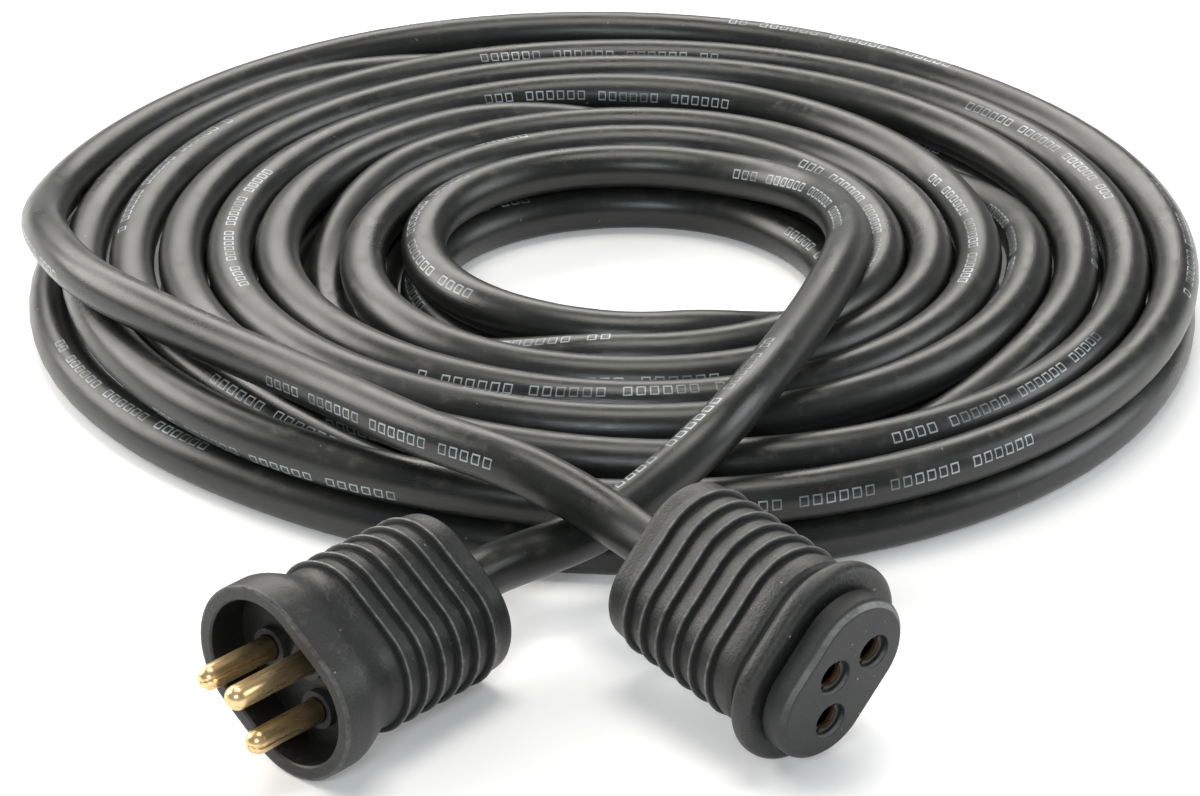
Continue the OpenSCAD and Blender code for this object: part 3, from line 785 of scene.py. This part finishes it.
# ---------------------------------------------------------------- socket body
skin = Skin(SOCKET)
rib_line, rear_curve = ribs(SOCKET_RIB)
crown = spline(
    [
        (12.0, FLANGE_DEPTH, 0), (13.25, 6.12, 0), (14.22, 6.92, 0), (FLANGE_R, 8.15, 0),
        (14.30, 9.40, 0), (13.25, 10.50, 0), (12.0, 11.02, 0),
    ],
    (1, 0, 0), (-0.92, 0.39, 0), 0.22,
)
crown = [tuple(q[:2]) for q in crown]
neck = [(NECK_R, 11.4), (NECK_R, 12.8), (11.65, 14.0), (11.65, 16.8)]
outline = (
    [(CARRIER_R, NOSE_BACK + 0.05), (CARRIER_R, FLANGE_DEPTH), (GRIP_R, FLANGE_DEPTH)] + crown
    + rounded([crown[-1]] + neck, {1: 0.2, 2: 0.3, 3: 0.6}, 5)[1:-1]
    + rounded([neck[-1]] + rib_line + rear_curve, 0.12, 3)
)
first_ring, last_ring = skin.sweep(outline)
inner = skin.ring(oblong_ring(ROOM_R), NOSE_BACK + 0.05)
bore = close_rear(skin, last_ring, SOCKET_REAR)
skin.fill(first_ring, [inner])
back = skin.ring(oblong_ring(ROOM_R), SOCKET_REAR - JACKET_IN)
skin.fill(back, [bore])
skin.walls(inner, back)
socket_body = skin.build("socket_body")
dress(socket_body, SOCKET_RUBBER)
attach(socket_body, "root")
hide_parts("socket_grip")

# ---------------------------------------------------------------- socket nose
skin = Skin(SOCKET)
nose = [
    (NOSE_R - 2.2, 0.0), (NOSE_R - 1.3, 0.0), (NOSE_R - 0.3, 0.95), (NOSE_R, 1.6), (NOSE_R, 4.9),
    (NOSE_R - 0.3, 5.2), (NOSE_R - 1.4, 5.2), (NOSE_R - 1.4, 5.95), (NOSE_R - 2.0, 5.95),
    (NOSE_R - 2.0, NOSE_BACK),
]
first_ring, last_ring = skin.sweep(rounded(nose, {1: 0.5, 2: 0.5, 3: 0.6, 4: 0.2, 5: 0.15}, 5))
mouths = [skin.ring(circle(-x, y, 3.52), 0.0) for x, y, _ in PINS]
skin.fill(first_ring, mouths)
ends = []
for (x, y, _), mouth in zip(PINS, mouths):
    hole = ((3.4, 0.12), (3.4, 1.2), (3.0, 1.2), (3.0, NOSE_BACK))
    loops = [mouth] + [skin.ring(circle(-x, y, r), d) for r, d in hole]
    skin.walls(*loops)
    ends.append(loops[-1])
skin.fill(last_ring, ends, flip=True)
socket_nose = skin.build("socket_nose")
dress(socket_nose, NOSE_RUBBER)
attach(socket_nose, "root")
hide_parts("socket_insert")

# ---------------------------------------------------------------- pins with their pressed seams
# outline of a pin behind its wall, as (r, z): the thicker root, the shoulder, the crimp and its bore
PIN_BACK = [
    (2.5, -6.5), (2.5, -16.1), (3.1, -16.1), (3.1, -18.1),
    (2.0, -18.1), (2.0, -27.1), (0.8, -27.1), (0.8, -21.05),
]


def pin_mesh(name, lie, x, y, reach, seams, split, sides=120):
    """Turned pin whose wall has narrow lengthwise seams; a split one also has a slot over its nose."""
    r = PIN_R
    line = [(r * math.sin(a), reach - r + r * math.cos(a)) for a in np.radians(np.linspace(2, 90, 16))]
    line += [(r, z) for z in np.linspace(reach - r, -6.5, 22)[1:]]
    line += PIN_BACK
    a = 2 * np.pi * np.arange(sides) / sides
    verts, faces = [(x, y, reach)], []
    for k, (rr, z) in enumerate(line):
        cut = np.zeros(sides)
        on_nose = z > reach - r * 0.75
        if z > -6.4 and (split or not on_nose):
            for seam, depth, width in seams:
                off = np.abs((a - seam + np.pi) % (2 * np.pi) - np.pi) * rr
                cut = np.maximum(cut, depth * np.clip(1 - off / width, 0, 1) ** 0.7)
        q = rr - cut
        verts += [(x + q[i] * math.cos(a[i]), y + q[i] * math.sin(a[i]), z) for i in range(sides)]
        if k == 0:
            faces += [(0, 1 + i, 1 + (i + 1) % sides) for i in range(sides)]
        else:
            s, t = 1 + (k - 1) * sides, 1 + k * sides
            faces += [(s + i, t + i, t + (i + 1) % sides, s + (i + 1) % sides) for i in range(sides)]
    last = 1 + (len(line) - 1) * sides
    faces.append(tuple(range(last, last + sides)))
    if split:
        verts[0] = (x, y, reach - 0.55)
    obj = new_object(name, lie.place(verts), faces)
    clean(obj, sharp=38)
    return obj


# each seam has its angle, depth and half width
for label, (x, y, reach), seams, split in (
    ("line", PINS[0], [(0.6, 0.32, 0.34), (0.6 + math.pi, 0.32, 0.34)], True),
    ("neutral", PINS[1], [(1.0, 0.32, 0.34), (1.0 + math.pi, 0.32, 0.34)], True),
    ("earth", PINS[2], [(2.2, 0.10, 0.30), (-0.3, 0.10, 0.30)], False),
):
    pin = pin_mesh("brass_pin_" + label, PLUG, x, y, reach, seams, split)
    dress(pin, BRASS)
    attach(pin, "root")
    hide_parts("pin_" + label)

# ---------------------------------------------------------------- finishes of the CAD pieces that stay
FINISH = {
    "plug_bridge": COLLAR_RUBBER, "socket_back": COLLAR_RUBBER,
    "contact_line": BRONZE, "contact_neutral": BRONZE, "contact_earth": BRONZE,
    "plug_core_line": CORE_BLACK, "plug_core_neutral": CORE_WHITE, "plug_core_earth": CORE_GREEN,
    "socket_core_line": CORE_BLACK, "socket_core_neutral": CORE_WHITE, "socket_core_earth": CORE_GREEN,
    "plug_copper": COPPER, "socket_copper": COPPER, "plug_jacket": PLUG_RUBBER, "socket_jacket": PLUG_RUBBER,
}
for node, material in FINISH.items():
    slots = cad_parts[node].data.materials
    if len(slots) == 0:
        slots.append(material)
    for i in range(len(slots)):
        slots[i] = material

# ---------------------------------------------------------------- floor, backdrop and light
floor = new_object("floor", [(-6, -6, 0), (6, -6, 0), (6, 6, 0), (-6, 6, 0)], [(0, 1, 2, 3)], smooth=False)
paint = Paint("floor_pale")
paint.set(Base_Color=(0.93, 0.93, 0.925), Roughness=0.6, Specular_IOR_Level=0.15)
# the camera and reflections see a little more than the light on the floor, which brings it to white
ray = paint.tree.nodes.new("ShaderNodeLightPath")
seen = paint.math("MAXIMUM", ray.outputs["Is Camera Ray"], ray.outputs["Is Glossy Ray"])
paint.set(Emission_Color=(1.0, 1.0, 1.0), Emission_Strength=paint.times(seen, 0.16))
dress(floor, paint.mat)

world = bpy.data.worlds.new("studio")
bpy.context.scene.world = world
world.use_nodes = True
tree = world.node_tree
tree.nodes.clear()
sky = tree.nodes.new("ShaderNodeBackground")
sky.inputs["Color"].default_value = (0.95, 0.98, 1.0, 1.0)
sky.inputs["Strength"].default_value = 0.25
end = tree.nodes.new("ShaderNodeOutputWorld")
tree.links.new(sky.outputs[0], end.inputs[0])


def softbox(name, location, target, size, power, colour):
    data = bpy.data.lights.new(name, "AREA")
    data.shape, data.size, data.size_y = "RECTANGLE", size[0], size[1]
    data.energy, data.color = power, colour
    obj = bpy.data.objects.new(name, data)
    obj.location = location
    obj.rotation_euler = (Vector(target) - Vector(location)).to_track_quat("-Z", "Y").to_euler()
    bpy.context.collection.objects.link(obj)


WARM, COOL, COOLER = (1.0, 0.97, 0.92), (0.95, 0.98, 1.0), (0.90, 0.96, 1.0)
softbox("back_light", (-0.25, 1.15, 0.80), (0, 0.02, 0), (1.5, 0.6), 15.5, WARM)
softbox("top_light", (0.0, 0.1, 1.25), (0, 0, 0), (0.7, 0.5), 8.0, WARM)
softbox("left_light", (-1.10, 0.40, 0.60), (-0.05, 0.05, 0), (0.8, 0.7), 14.0, WARM)
softbox("right_light", (1.15, 0.10, 0.50), (0, 0, 0), (0.7, 0.6), 6.0, COOL)
softbox("front_light", (-0.18, -1.15, 0.72), (0, -0.05, 0), (0.34, 0.12), 4.5, COOLER)

scene = bpy.context.scene
scene.view_settings.view_transform = "Standard"
